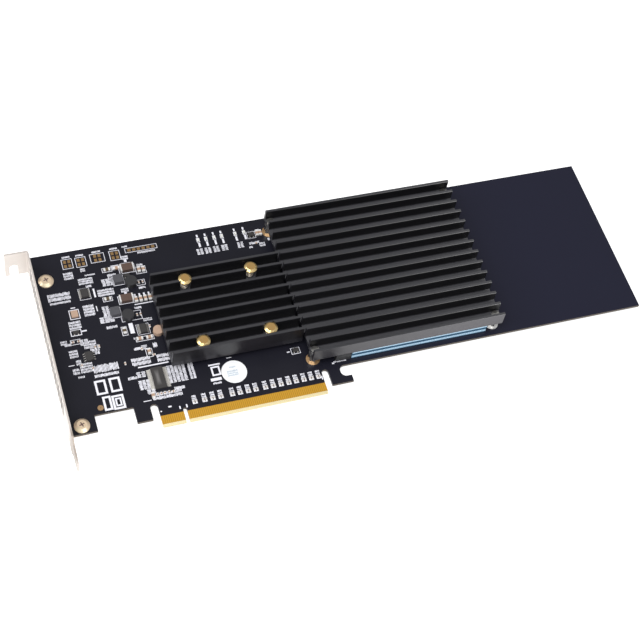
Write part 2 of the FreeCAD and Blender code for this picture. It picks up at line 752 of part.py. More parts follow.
# Drive bays: sockets, drive posts, and thermal pads below and above each bay
sockets = new_body("drive_sockets")
housing = new_sketch(sockets, "XY_Plane", "socket_outline")
draw_box(housing, "socket_left", "socket_right", "socket_front", "socket_back")
extrude(sockets, "Pad", housing, "socket_height", "socket_block")
mouth = new_sketch(sockets, "YZ_Plane", "socket_mouth", "socket_right")
draw_box(mouth, "mouth_front", "mouth_back", "socket_mouth_low", "mouth_high")
extrude(sockets, "Pocket", mouth, "socket_mouth_depth", "socket_mouth_cut")
repeat_whole(sockets, "Y_Axis", "bay_pitch", 4, "socket_row")
drive_posts = hexagon_post("drive_posts", "drive_post_width", "drive_post_height",
                           "drive_post_bore", "drive_post_bore_depth", "drive_post_x", "bay_first_y")
repeat_whole(drive_posts, "Y_Axis", "bay_pitch", 4, "drive_post_row")
for label, level, thick in (("lower_thermal_pads", "zero", "lower_pad"),
                            ("upper_thermal_pads", "upper_pad_low", "upper_pad")):
    cushion = new_body(label)
    area = new_sketch(cushion, "XY_Plane", label + "_outline", level)
    draw_box(area, "pad_left", "pad_right", "bay_front_y", "bay_back_y")
    extrude(cushion, "Pad", area, thick, label + "_block")
    repeat_whole(cushion, "Y_Axis", "bay_pitch", 4, label + "_row")


# Switch chip under the small heatsink: substrate, lid, thermal pad
def slab(label, centre_x, centre_y, side_x, side_y, level, thick):
    """Plain block named by sizes, centred on a point of the board."""
    block = doc.addObject("Part::Box", label)
    block.Label = label
    block.setExpression("Length", "sizes." + side_x)
    block.setExpression("Width", "sizes." + side_y)
    block.setExpression("Height", "sizes." + thick)
    block.setExpression("Placement.Base.x", f"sizes.{centre_x} - sizes.{side_x} / 2")
    block.setExpression("Placement.Base.y", f"sizes.{centre_y} - sizes.{side_y} / 2")
    block.setExpression("Placement.Base.z", "sizes." + level)
    return block


slab("switch_chip_substrate", "chip_x", "chip_y", "chip_side", "chip_side", "zero", "chip_substrate")
slab("switch_chip_lid", "chip_x", "chip_y", "chip_lid_side", "chip_lid_side", "chip_substrate",
     "chip_lid")
slab("switch_thermal_pad", "chip_x", "chip_y", "chip_pad_side", "chip_pad_side", "chip_lid_top",
     "chip_pad")
slab("flash_chip", "flash_x", "flash_y", "flash_width", "flash_length", "zero", "flash_thick")
label_disc = doc.addObject("Part::Cylinder", "round_label")
label_disc.Label = "round_label"
label_disc.setExpression("Radius", "sizes.label_radius")
label_disc.setExpression("Height", "sizes.label_thick")
label_disc.setExpression("Placement.Base.x", "sizes.label_x")
label_disc.setExpression("Placement.Base.y", "sizes.label_y")


# Small surface-mounted parts: equal blocks set at listed places on the board
def gather(label, shapes):
    """One named piece that holds several separate solids."""
    piece = doc.addObject("Part::Feature", label)
    piece.Label = label
    piece.Shape = Part.makeCompound(shapes)
    return piece


def block_at(centre_x, centre_y, length, width, height, level=0.0):
    """Block centred on a place; length along X, width along Y."""
    corner = FreeCAD.Vector(centre_x - length / 2, centre_y - width / 2, level)
    return Part.makeBox(length, width, height, corner)


def chip_solids(places, length, width, height):
    """Two-ended chips as blocks; each place is (x, y, upright)."""
    return [
        block_at(x, y, width, length, height) if upright else block_at(x, y, length, width, height)
        for x, y, upright in places
    ]


def lead(edge_x, y, side, reach, high):
    """Gull-wing lead of a chip whose body side stands at edge_x; side is -1 or 1."""
    width = number("lead_width")
    thick = number("lead_thick")
    foot = reach * 0.45
    points = [
        (edge_x, high),
        (edge_x + side * (reach - foot), 0.0),
        (edge_x + side * reach, 0.0),
        (edge_x, high + thick),
    ]
    corners = [FreeCAD.Vector(x, y - width / 2, z) for x, z in points]
    face = Part.Face(Part.makePolygon(corners + corners[:1]))
    return face.extrude(FreeCAD.Vector(0, width, 0))


def lead_rows(x, y, half_width, count, pitch, reach, high):
    """Leads along both long sides of one chip."""
    solids = []
    for k in range(round(count)):
        shift = (k - (count - 1) / 2) * pitch
        solids.append(lead(x - half_width, y + shift, -1, reach, high))
        solids.append(lead(x + half_width, y + shift, 1, reach, high))
    return solids


# Flash chip leads, one row on each long side
gather("flash_chip_leads", lead_rows(
    number("flash_x"), number("flash_y"), number("flash_width") / 2,
    int(number("flash_lead_count")), number("flash_lead_pitch"),
    (number("flash_lead_span") - number("flash_width")) / 2, number("flash_thick") * 0.45))

# Controller chips near the bracket, with leads on two sides
CONTROLLERS = (
    # x, y, body width, body length, leads per side, pitch
    (-39.0, 46.6, 3.9, 4.9, 4, 1.27),
    (-33.4, 83.6, 3.9, 5.0, 8, 0.65),
    (-9.2, 56.7, 3.4, 5.0, 8, 0.65),
)
bodies = []
metal = []
for x, y, width, length, count, pitch in CONTROLLERS:
    bodies.append(block_at(x, y, width, length, number("controller_high")))
    metal += lead_rows(x, y, width / 2, count, pitch, number("controller_lead_reach"),
                       number("controller_high") * 0.4)
gather("controller_chips", bodies)
gather("controller_chip_leads", metal)

# Three-lead regulators and similar small packages
REGULATORS = (
    (-42.4, 61.7, 3.0, 1.7),
    (-10.0, 90.0, 3.0, 1.7),
    (number("drive_sink_left") - 7.7, 101.9, 3.2, 2.4),
    (number("drive_sink_left") - 5.1, 27.6, 3.0, 2.0),
)
bodies = []
metal = []
for x, y, length, width in REGULATORS:
    bodies.append(block_at(x, y, length, width, number("regulator_high")))
    for shift in (-0.95, 0.95):
        metal.append(block_at(x + shift, y - width / 2 - 0.3, 0.45, 0.6, number("tab_high")))
    metal.append(block_at(x, y + width / 2 + 0.3, 0.45, 0.6, number("tab_high")))
gather("regulator_chips", bodies)
gather("regulator_leads", metal)

# Power inductors: square shielded ones and round ones
gather("square_inductors", [
    block_at(x, y, number("square_coil_side"), number("square_coil_side"),
             number("square_coil_high"))
    for x, y in ((-14.8, 88.1), (-20.7, 69.1))
])
gather("round_inductors", [
    Part.makeCylinder(number("round_coil_radius"), number("round_coil_high"),
                      FreeCAD.Vector(x, y, 0))
    for x, y in ((-8.9, 85.1), (-15.0, 65.4))
])

# Moulded tantalum capacitors and the round capacitor
gather("tantalum_capacitors", [
    block_at(x, y, number("tantalum_length"), number("tantalum_width"), number("tantalum_high"))
    for x, y in ((-8.8, 94.4), (-13.4, 75.9))
])
gather("round_capacitor", [
    Part.makeCylinder(number("round_cap_radius"), number("round_cap_high"),
                      FreeCAD.Vector(-2.3, 53.4, 0))
])

# Chip capacitors in two sizes
LARGE_CAPACITORS = (
    (-14.1, 95.5, False), (-3.0, 92.3, True), (-0.7, 92.1, True),
    (-8.6, 74.5, True), (-6.2, 74.5, True), (-3.8, 74.5, True), (-1.4, 74.5, True),
    (-12.2, 51.3, False), (-7.3, 51.2, False), (-9.4, 43.0, True),
    (number("drive_sink_left") - 4.5, 102.1, True),
    (number("drive_sink_left") - 2.7, 102.1, True), (-13.4, 18.0, True),
)
SMALL_CAPACITORS = (
    (-4.8, 84.6, True), (-2.8, 84.6, True), (-10.2, 65.6, True), (-8.4, 65.6, True),
    (-45.2, 56.4, False), (-42.2, 56.4, False), (-12.6, 45.4, True), (-7.5, 40.8, False),
    (-11.0, 18.2, True), (-9.2, 18.2, True), (-7.4, 18.2, True), (-5.2, 18.2, True),
    (-3.2, 18.2, False), (-43.6, 42.4, True), (-38.6, 39.6, True), (61.8, 96.1, False),
    (-5.6, 57.6, True), (-35.0, 51.4, True), (-33.0, 51.4, True), (-22.6, 38.8, True),
)
gather("large_chip_capacitors", chip_solids(LARGE_CAPACITORS, 3.2, 1.6, 1.2))
gather("small_chip_capacitors", chip_solids(SMALL_CAPACITORS, 1.6, 0.8, 0.6))

# Coupling capacitors: one pair for each lane, in a row above the edge contacts
LANES = (5.8, 10.8, 15.0, 19.1, 25.1, 29.1, 33.3, 37.3, 42.3, 46.4, 50.5, 54.6, 58.5, 62.6, 66.5, 70.4)
pairs = []
for x in LANES:
    for side in (-1, 1):
        pairs.append((x + side * number("coupling_half"), number("coupling_y"), True))
gather("coupling_capacitors", chip_solids(pairs, 1.6, 0.8, 0.6))

# Diodes, oscillator can, status lamps
gather("diodes", [
    block_at(-18.6, 57.5, 1.6, 3.4, 1.0),
    block_at(-19.1, 95.7, 3.4, 1.6, 1.0),
    block_at(-22.6, 78.0, 3.4, 1.6, 1.0),
])
gather("oscillator", [block_at(-40.9, 72.5, 3.4, 3.8, 1.0)])
LAMPS = (32.0, 36.3, 40.8, 45.0, 52.4, 57.3)
gather("status_lamps", [block_at(x, 104.3, 0.9, 1.7, 0.6) for x in LAMPS])

# Pad headers along the top edge: bare gilt pads in groups of four, and a row of six rings
PAD_GROUPS = ((-38.1, 103.5), (-31.0, 103.3), (-22.2, 104.1), (-13.0, 103.8))
pads = []
for x, y in PAD_GROUPS:
    for across in (-1, 1):
        for along in (-1, 1):
            pads.append(block_at(x + across * 1.15, y + along * 1.35, 1.5, 1.9,
                                 number("pad_skin")))
gather("header_pads", pads)
gather("header_row", [
    block_at(-5.1 + 2.54 * k, 105.5, 1.7, 1.7, number("pad_skin")) for k in range(6)
])

# Decoupling capacitors behind the switch chip, on the solder side
rear = []
for column in range(4):
    for line in range(4):
        x = number("chip_x") + (column - 1.5) * 4.4
        y = number("chip_y") + (line - 1.5) * 4.4
        rear.append(block_at(x, y, 1.6, 0.8, 0.6, number("solder_face") - 0.6))
gather("rear_capacitors", rear)
doc.recompute()

# Check and write every piece
for thing in doc.Objects:
    faults = [word for word in thing.State if word in ("Invalid", "Error")]
    if faults:
        raise RuntimeError(f"{thing.Name}: {faults}")
written = 0
for thing in doc.Objects:
    if thing.TypeId not in ("PartDesign::Body", "Part::Box", "Part::Cylinder", "Part::Feature"):
        continue
    shape = thing.Shape
    if shape.isNull() or not shape.isValid() or not shape.Solids:
        raise RuntimeError(f"{thing.Label}: shape")
    shape.exportStep(f"parts/{thing.Label}.step")
    written += 1
print("pieces written:", written)
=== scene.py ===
import math
import random

import bmesh
import bpy
from mathutils import Euler, Matrix, Vector


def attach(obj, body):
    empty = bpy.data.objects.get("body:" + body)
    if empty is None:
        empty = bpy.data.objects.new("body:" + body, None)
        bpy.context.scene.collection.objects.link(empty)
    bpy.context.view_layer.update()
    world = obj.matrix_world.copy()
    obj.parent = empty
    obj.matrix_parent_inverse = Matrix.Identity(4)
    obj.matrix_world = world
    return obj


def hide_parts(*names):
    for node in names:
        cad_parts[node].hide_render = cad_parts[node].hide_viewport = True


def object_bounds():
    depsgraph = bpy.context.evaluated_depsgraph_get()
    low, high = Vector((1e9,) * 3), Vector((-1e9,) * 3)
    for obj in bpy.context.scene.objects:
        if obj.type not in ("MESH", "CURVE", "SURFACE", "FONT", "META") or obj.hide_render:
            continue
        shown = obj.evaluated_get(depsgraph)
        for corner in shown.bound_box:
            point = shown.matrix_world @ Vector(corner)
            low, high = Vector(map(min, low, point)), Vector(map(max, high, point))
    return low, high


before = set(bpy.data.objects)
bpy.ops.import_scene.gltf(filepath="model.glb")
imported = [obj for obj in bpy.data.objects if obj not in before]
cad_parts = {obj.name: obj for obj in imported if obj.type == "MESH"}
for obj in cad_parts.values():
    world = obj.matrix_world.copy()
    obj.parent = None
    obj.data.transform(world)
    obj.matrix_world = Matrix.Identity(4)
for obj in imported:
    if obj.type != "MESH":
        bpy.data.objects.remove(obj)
cad_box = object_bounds()

# Printed circuit board: glass laminate, routed to its outline, under a near-black solder mask.
# The mask ends above the edge contacts, where the bare laminate shows tan between the strips,
# and the sawn edges are dark brown.
MM = 0.001


def effect_group(name, inputs, outputs):
    """Empty shader node group with named sockets; returns the group and its two ends."""
    group = bpy.data.node_groups.new(name, "ShaderNodeTree")
    for label, kind, value in inputs:
        socket = group.interface.new_socket(label, in_out="INPUT", socket_type=kind)
        socket.default_value = value
    for label, kind in outputs:
        group.interface.new_socket(label, in_out="OUTPUT", socket_type=kind)
    return group, group.nodes.new("NodeGroupInput"), group.nodes.new("NodeGroupOutput")


def make_mottle_group():
    """Two colours mixed by fine noise, with a roughness that drifts along with them."""
    group, start, end = effect_group("mottle", [
        ("Colour", "NodeSocketColor", (0.5, 0.5, 0.5, 1)),
        ("Second Colour", "NodeSocketColor", (0.4, 0.4, 0.4, 1)),
        ("Scale", "NodeSocketFloat", 500.0),
        ("Amount", "NodeSocketFloat", 0.5),
        ("Roughness", "NodeSocketFloat", 0.4),
        ("Roughness Drift", "NodeSocketFloat", 0.1),
    ], [("Colour", "NodeSocketColor"), ("Roughness", "NodeSocketFloat")])
    place = group.nodes.new("ShaderNodeTexCoord")
    noise = group.nodes.new("ShaderNodeTexNoise")
    noise.inputs["Detail"].default_value = 5
    share = group.nodes.new("ShaderNodeMath")
    share.operation = "MULTIPLY"
    share.use_clamp = True
    mix = group.nodes.new("ShaderNodeMix")
    mix.data_type = "RGBA"
    centred = group.nodes.new("ShaderNodeMath")
    centred.operation = "SUBTRACT"
    centred.inputs[1].default_value = 0.5
    drift = group.nodes.new("ShaderNodeMath")
    drift.operation = "MULTIPLY"
    total = group.nodes.new("ShaderNodeMath")
    total.operation = "ADD"
    total.use_clamp = True
    join = group.links.new
    join(place.outputs["Object"], noise.inputs["Vector"])
    join(start.outputs["Scale"], noise.inputs["Scale"])
    join(noise.outputs["Fac"], share.inputs[0])
    join(start.outputs["Amount"], share.inputs[1])
    join(share.outputs[0], mix.inputs["Factor"])
    join(start.outputs["Colour"], mix.inputs["A"])
    join(start.outputs["Second Colour"], mix.inputs["B"])
    join(mix.outputs["Result"], end.inputs["Colour"])
    join(noise.outputs["Fac"], centred.inputs[0])
    join(centred.outputs[0], drift.inputs[0])
    join(start.outputs["Roughness Drift"], drift.inputs[1])
    join(drift.outputs[0], total.inputs[0])
    join(start.outputs["Roughness"], total.inputs[1])
    join(total.outputs[0], end.inputs["Roughness"])
    return group


def make_grain_group():
    """Height of fine marks, stretched along one axis by unequal scales."""
    group, start, end = effect_group("grain", [
        ("Scale", "NodeSocketVector", (2000.0, 2000.0, 2000.0)),
    ], [("Height", "NodeSocketFloat")])
    place = group.nodes.new("ShaderNodeTexCoord")
    stretch = group.nodes.new("ShaderNodeVectorMath")
    stretch.operation = "MULTIPLY"
    noise = group.nodes.new("ShaderNodeTexNoise")
    noise.inputs["Scale"].default_value = 1.0
    noise.inputs["Detail"].default_value = 4
    join = group.links.new
    join(place.outputs["Object"], stretch.inputs[0])
    join(start.outputs["Scale"], stretch.inputs[1])
    join(stretch.outputs["Vector"], noise.inputs["Vector"])
    join(noise.outputs["Fac"], end.inputs["Height"])
    return group


def make_region_group():
    """Mask that is one inside a box of object space, with a soft edge of its own on each axis."""
    group, start, end = effect_group("region", [
        ("Low", "NodeSocketVector", (0.0, 0.0, 0.0)),
        ("High", "NodeSocketVector", (0.0, 0.0, 0.0)),
        ("Sharpness", "NodeSocketVector", (1000.0, 1000.0, 1000.0)),
    ], [("Mask", "NodeSocketFloat")])
    place = group.nodes.new("ShaderNodeTexCoord")
    join = group.links.new
    masks = []
    for first, second in ((place.outputs["Object"], start.outputs["Low"]),
                          (start.outputs["High"], place.outputs["Object"])):
        inside = group.nodes.new("ShaderNodeVectorMath")
        inside.operation = "SUBTRACT"
        slope = group.nodes.new("ShaderNodeVectorMath")
        slope.operation = "MULTIPLY"
        parts = group.nodes.new("ShaderNodeSeparateXYZ")
        join(first, inside.inputs[0])
        join(second, inside.inputs[1])
        join(inside.outputs["Vector"], slope.inputs[0])
        join(start.outputs["Sharpness"], slope.inputs[1])
        join(slope.outputs["Vector"], parts.inputs[0])
        masks += [parts.outputs[axis] for axis in "XYZ"]
    least = masks[0]
    for mask in masks[1:]:
        lower = group.nodes.new("ShaderNodeMath")
        lower.operation = "MINIMUM"
        join(least, lower.inputs[0])
        join(mask, lower.inputs[1])
        least = lower.outputs[0]
    lower.use_clamp = True
    join(least, end.inputs["Mask"])
    return group


def make_facing_group():
    """Mask that is one where the surface faces along a direction of object space."""
    group, start, end = effect_group("facing", [
        ("Direction", "NodeSocketVector", (0.0, 0.0, 1.0)),
        ("Threshold", "NodeSocketFloat", 0.7),
    ], [("Mask", "NodeSocketFloat")])
    place = group.nodes.new("ShaderNodeTexCoord")
    along = group.nodes.new("ShaderNodeVectorMath")
    along.operation = "DOT_PRODUCT"
    over = group.nodes.new("ShaderNodeMath")
    over.operation = "SUBTRACT"
    steep = group.nodes.new("ShaderNodeMath")
    steep.operation = "MULTIPLY"
    steep.inputs[1].default_value = 12.0
    steep.use_clamp = True
    join = group.links.new
    join(place.outputs["Normal"], along.inputs[0])
    join(start.outputs["Direction"], along.inputs[1])
    join(along.outputs["Value"], over.inputs[0])
    join(start.outputs["Threshold"], over.inputs[1])
    join(over.outputs[0], steep.inputs[0])
    join(steep.outputs[0], end.inputs["Mask"])
    return group


mottle_group = make_mottle_group()
grain_group = make_grain_group()
region_group = make_region_group()
facing_group = make_facing_group()


def finish(name, colour, second, roughness, metallic=0.0, scale=400.0, amount=0.6, drift=0.12,
           grain=(3000.0, 3000.0, 3000.0), relief=0.1, depth=0.00002):
    """Procedural finish: mottled colour, drifting roughness and a fine raised grain."""
    material = bpy.data.materials.new(name)
    material.use_nodes = True
    nodes = material.node_tree.nodes
    join = material.node_tree.links.new
    shader = nodes["Principled BSDF"]
    shader.inputs["Metallic"].default_value = metallic
    mottle = nodes.new("ShaderNodeGroup")
    mottle.node_tree = mottle_group
    mottle.name = "mottle"
    mottle.inputs["Colour"].default_value = (*colour, 1)
    mottle.inputs["Second Colour"].default_value = (*second, 1)
    mottle.inputs["Scale"].default_value = scale
    mottle.inputs["Amount"].default_value = amount
    mottle.inputs["Roughness"].default_value = roughness
    mottle.inputs["Roughness Drift"].default_value = drift
    join(mottle.outputs["Colour"], shader.inputs["Base Color"])
    join(mottle.outputs["Roughness"], shader.inputs["Roughness"])
    grains = nodes.new("ShaderNodeGroup")
    grains.node_tree = grain_group
    grains.inputs["Scale"].default_value = grain
    bump = nodes.new("ShaderNodeBump")
    bump.name = "relief"
    bump.inputs["Strength"].default_value = relief
    bump.inputs["Distance"].default_value = depth
    join(grains.outputs["Height"], bump.inputs["Height"])
    join(bump.outputs["Normal"], shader.inputs["Normal"])
    return material


def overlay(material, colour, low=(-400, -400, -400), high=(400, 400, 400), soft=(0.1, 0.1, 0.1),
            facing=None, threshold=0.7):
    """Lays a second colour over part of a finish: a box in millimetres, a facing, or both."""
    nodes = material.node_tree.nodes
    join = material.node_tree.links.new
    region = nodes.new("ShaderNodeGroup")
    region.node_tree = region_group
    region.inputs["Low"].default_value = [value * MM for value in low]
    region.inputs["High"].default_value = [value * MM for value in high]
    region.inputs["Sharpness"].default_value = [1 / (value * MM) for value in soft]
    mask = region.outputs["Mask"]
    if facing:
        turned = nodes.new("ShaderNodeGroup")
        turned.node_tree = facing_group
        turned.inputs["Direction"].default_value = Vector(facing).normalized()
        turned.inputs["Threshold"].default_value = threshold
        both = nodes.new("ShaderNodeMath")
        both.operation = "MULTIPLY"
        join(mask, both.inputs[0])
        join(turned.outputs["Mask"], both.inputs[1])
        mask = both.outputs[0]
    base = nodes["Principled BSDF"].inputs["Base Color"]
    mix = nodes.new("ShaderNodeMix")
    mix.data_type = "RGBA"
    mix.inputs["B"].default_value = (*colour, 1)
    join(mask, mix.inputs["Factor"])
    join(base.links[0].from_socket, mix.inputs["A"])
    join(mix.outputs["Result"], base)


def dress(node, material):
    """Gives a carried-over solid its finish."""
    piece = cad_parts[node]
    piece.data.materials.clear()
    piece.data.materials.append(material)
    return piece


def soften(piece, width):
    """Small rounded edges on a piece with hard corners."""
    rounding = piece.modifiers.new("edges", "BEVEL")
    rounding.width = width
    rounding.segments = 2
    rounding.limit_method = "ANGLE"
    rounding.angle_limit = math.radians(40)
    return piece


solder_mask = finish("solder_mask", (0.0085, 0.0085, 0.0135), (0.0115, 0.0115, 0.0185), 0.33,
                     scale=60.0, amount=0.7, drift=0.08, grain=(700.0, 700.0, 700.0),
                     relief=0.12, depth=0.00002)
solder_mask.node_tree.nodes["Principled BSDF"].inputs["Specular IOR Level"].default_value = 0.27
# Painted sheen: the mask is painted a little paler and bluer toward the right end of the card.
overlay(solder_mask, (0.0125, 0.0130, 0.0275), low=(60, -400, -400), soft=(150, 1, 1))
overlay(solder_mask, (0.47, 0.24, 0.022), low=(-13, 1.45, -2), high=(73, 6.25, 2))
# Painted highlight: the bevelled edge below the contacts is painted the same pale gold as the strips
# on its slope.
overlay(solder_mask, (0.64, 0.55, 0.34), low=(-13, -1, -2), high=(73, 1.45, 2))
overlay(solder_mask, (0.05, 0.035, 0.02), low=(-60, 1.5, -2), facing=(0, 1, 0))
overlay(solder_mask, (0.05, 0.035, 0.02), low=(-60, 1.5, -2), facing=(0, -1, 0))
dress("printed_circuit_board", solder_mask)

# White print on the board: part outlines, tick marks and reference marks as plain strokes.
# It is screen-printed ink, a few hundredths of a millimetre thick, laid on the solder mask.
# Each call below gives a place and a size in millimetres on the board.
INK_THICK = 0.025 * MM
STROKE_PITCH = 0.62
ROW_GAP = 0.16


def card_piece(form, name, material):
    """Turns a finished bmesh into a named object that rides on the card."""
    mesh = bpy.data.meshes.new(name)
    form.to_mesh(mesh)
    form.free()
    made = bpy.data.objects.new(name, mesh)
    bpy.context.scene.collection.objects.link(made)
    mesh.materials.append(material)
    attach(made, "root")
    return made


class Ink:
    """Collects flat bars of ink, measured in millimetres, into one mesh at one level."""

    def __init__(self, seed, level=0.0):
        self.form = bmesh.new()
        self.level = level
        self.dice = random.Random(seed)

    def bar(self, x, y, width, height):
        """Solid bar centred on a place."""
        middle = Vector((x * MM, y * MM, self.level * MM + INK_THICK / 2))
        size = Matrix.Diagonal((width * MM, height * MM, INK_THICK, 1))
        bmesh.ops.create_cube(self.form, size=1, matrix=Matrix.Translation(middle) @ size)

    def outline(self, x, y, width, height, line=0.28):
        """Rectangle drawn with a thin line."""
        self.bar(x, y + (height - line) / 2, width, line)
        self.bar(x, y - (height - line) / 2, width, line)
        self.bar(x - (width - line) / 2, y, line, height - 2 * line)
        self.bar(x + (width - line) / 2, y, line, height - 2 * line)

    def marks(self, x, y, length, height, upright=False, rows=1):
        """Rows of short strokes that stand for reference marks."""
        count = max(1, round(length / STROKE_PITCH))
        row_height = (height - ROW_GAP * (rows - 1)) / rows
        for row in range(rows):
            across = (row - (rows - 1) / 2) * (row_height + ROW_GAP)
            for k in range(count):
                along = (k - (count - 1) / 2) * length / count
                stroke = self.dice.uniform(0.34, 0.5)
                tall = row_height * self.dice.uniform(0.72, 1.0)
                lift = (row_height - tall) * self.dice.uniform(-0.5, 0.5)
                if upright:
                    self.bar(x + across + lift, y + along, tall, stroke)
                else:
                    self.bar(x + along, y + across + lift, stroke, tall)


white_ink = finish("white_ink", (0.80, 0.80, 0.86), (0.70, 0.70, 0.78), 0.55, scale=900.0,
                   grain=(2500.0, 2500.0, 2500.0), relief=0.05)
ink = Ink(3)

# headers and their marks along the top edge
for x, y in ((-38.1, 103.5), (-31.0, 103.3), (-13.0, 103.8)):
    ink.outline(x, y, 5.6, 6.2)
    ink.marks(x, y + 4.3, 4.2, 1.1)
ink.outline(-22.2, 104.1, 7.6, 5.6)
ink.marks(-22.2, 108.0, 4.6, 1.2)
ink.outline(1.25, 105.5, 17.2, 3.0)
ink.marks(-7.0, 108.2, 3.0, 1.1)
ink.marks(3.5, 103.0, 9.5, 1.3)
ink.marks(-39.1, 96.0, 5.0, 4.4, rows=3)
ink.marks(-31.2, 98.2, 2.6, 2.2, rows=2)
ink.marks(-28.2, 94.6, 5.4, 1.0)
ink.marks(-31.2, 91.2, 7.6, 3.8, rows=3)
ink.marks(-30.4, 87.8, 3.0, 1.4)

# marks round the two small power supplies
ink.outline(-19.1, 95.7, 5.2, 2.8)
ink.outline(-8.8, 94.4, 8.6, 5.4)
ink.outline(-1.9, 92.2, 5.4, 4.6)
ink.marks(-1.9, 95.4, 3.2, 1.4)
ink.marks(-8.5, 101.4, 3.6, 2.4, rows=2)
ink.bar(-8.5, 99.4, 1.4, 1.6)
ink.bar(-8.9, 97.9, 5.6, 0.45)
ink.marks(-14.7, 96.4, 3.0, 4.6, upright=True, rows=1)
ink.outline(-14.8, 88.1, 6.0, 6.0)
ink.marks(-20.3, 88.2, 4.4, 6.4, upright=True, rows=3)
ink.marks(-22.6, 82.4, 8.6, 4.2, rows=3)
ink.outline(-33.4, 83.6, 5.8, 7.0, 0.22)
ink.bar(-28.4, 83.2, 0.9, 5.4)
ink.outline(-3.8, 84.6, 4.6, 3.6)
ink.marks(-3.8, 81.4, 3.6, 1.4)
ink.marks(-12.9, 81.6, 4.0, 2.4, rows=2)
ink.bar(-12.9, 79.8, 1.4, 1.4)
ink.bar(-13.2, 78.9, 4.6, 0.45)
ink.marks(-17.4, 90.2, 4.6, 5.6, rows=3)
ink.marks(-25.0, 69.6, 9.0, 3.6, upright=True, rows=2)
ink.outline(-13.4, 75.9, 8.4, 5.2)
ink.bar(-5.0, 71.9, 10.0, 0.5)
for x in (-8.6, -6.2, -3.8, -1.4):
    ink.bar(x, 77.5, 0.9, 1.4)
ink.outline(-22.6, 78.0, 5.0, 2.8)
ink.outline(-20.7, 69.1, 6.0, 6.0)
ink.outline(-13.2, 65.6, 10.6, 5.6)
ink.marks(-25.6, 66.0, 3.6, 7.4, upright=True, rows=3)
ink.marks(-24.2, 61.2, 5.6, 1.6)
ink.marks(-8.8, 69.8, 3.6, 1.4)

# clock and small logic beside the bracket
ink.outline(-40.9, 72.5, 5.2, 5.8, 0.4)
ink.bar(-40.9, 76.5, 2.4, 0.6)
ink.marks(-33.3, 73.4, 5.6, 6.6, rows=4)
ink.bar(-29.2, 73.6, 0.5, 3.2)
ink.marks(-42.0, 66.2, 6.2, 4.8, rows=3)
ink.outline(-42.4, 61.7, 5.6, 3.6, 0.4)
ink.bar(-38.2, 62.0, 2.6, 0.8)
ink.outline(-43.8, 56.4, 5.2, 3.0)
ink.marks(-47.8, 55.4, 3.6, 1.4)
ink.marks(-39.7, 55.4, 3.6, 4.4, upright=True, rows=2)
ink.marks(-35.4, 51.0, 4.6, 3.8, rows=2)
ink.marks(-46.2, 49.7, 4.4, 4.4, rows=3)
ink.marks(-44.8, 44.4, 2.6, 3.0, rows=2)
ink.bar(-48.6, 43.4, 3.0, 0.4)
ink.marks(-41.6, 40.8, 6.4, 5.6, rows=4)
ink.marks(-47.0, 39.6, 3.4, 3.4, rows=2)
ink.marks(-45.2, 36.0, 3.4, 1.2)
ink.marks(-37.2, 53.6, 6.4, 4.4, rows=3)
ink.marks(-34.6, 50.0, 5.4, 2.4, upright=True, rows=2)
ink.marks(-49.6, 57.0, 3.4, 2.4, rows=2)
ink.outline(-18.6, 57.5, 2.9, 5.4)
ink.bar(-14.8, 58.4, 2.2, 6.2)
ink.outline(-9.2, 56.7, 6.6, 6.4, 0.22)
ink.marks(-5.6, 62.0, 4.6, 1.8, rows=2)
ink.marks(-13.6, 52.0, 3.2, 1.4)
ink.outline(-9.6, 51.2, 9.4, 2.8)
ink.marks(-14.6, 46.0, 1.6, 4.0, upright=True)
ink.marks(-11.2, 46.2, 2.6, 3.2, upright=True)
ink.marks(-5.6, 46.4, 2.2, 3.0)
ink.outline(-9.4, 42.4, 3.4, 5.0)

# flash chip surroundings
ink.marks(-14.6, 38.6, 9.6, 4.4, rows=2)
ink.marks(-3.4, 38.4, 6.2, 4.4, rows=2)
ink.bar(-9.2, 35.2, 15.6, 0.7)
ink.marks(-16.4, 31.0, 3.4, 4.6, upright=True, rows=2)
ink.marks(-21.0, 30.0, 4.6, 1.8)
ink.marks(-16.0, 25.0, 5.4, 5.6, upright=True, rows=3)
ink.marks(-13.6, 20.6, 3.0, 4.4, upright=True, rows=2)
ink.marks(1.2, 28.0, 10.2, 9.4, upright=True, rows=5)
ink.marks(8.6, 28.1, 10.0, 3.0, upright=True, rows=2)
ink.marks(-6.4, 17.2, 15.0, 3.8, rows=2)
ink.marks(0.4, 19.6, 5.4, 1.8)
ink.bar(-16.8, 15.8, 4.0, 0.4)

# plain framed fields and rows beside the bracket and the label
ink.marks(-46.3, 84.5, 11.6, 4.6, rows=2)
ink.marks(-46.4, 80.9, 10.6, 1.3)
ink.marks(-32.4, 38.8, 12.6, 4.6, rows=1)
ink.marks(-32.8, 34.9, 12.2, 1.8)
for x, y, width, height in ((-37.2, 28.3, 5.6, 8.2), (-30.0, 28.4, 5.6, 8.2),
                            (-36.0, 18.9, 4.2, 8.0), (-30.6, 18.5, 6.0, 8.0)):
    ink.outline(x, y, width, height, 1.1)
ink.outline(-30.6, 18.5, 3.0, 4.6, 0.8)
ink.outline(20.4, 24.9, 4.6, 5.4, 0.9)
ink.bar(20.4, 28.6, 6.0, 0.8)
ink.bar(19.4, 20.2, 5.6, 1.7)
ink.marks(19.4, 18.0, 4.4, 1.2)

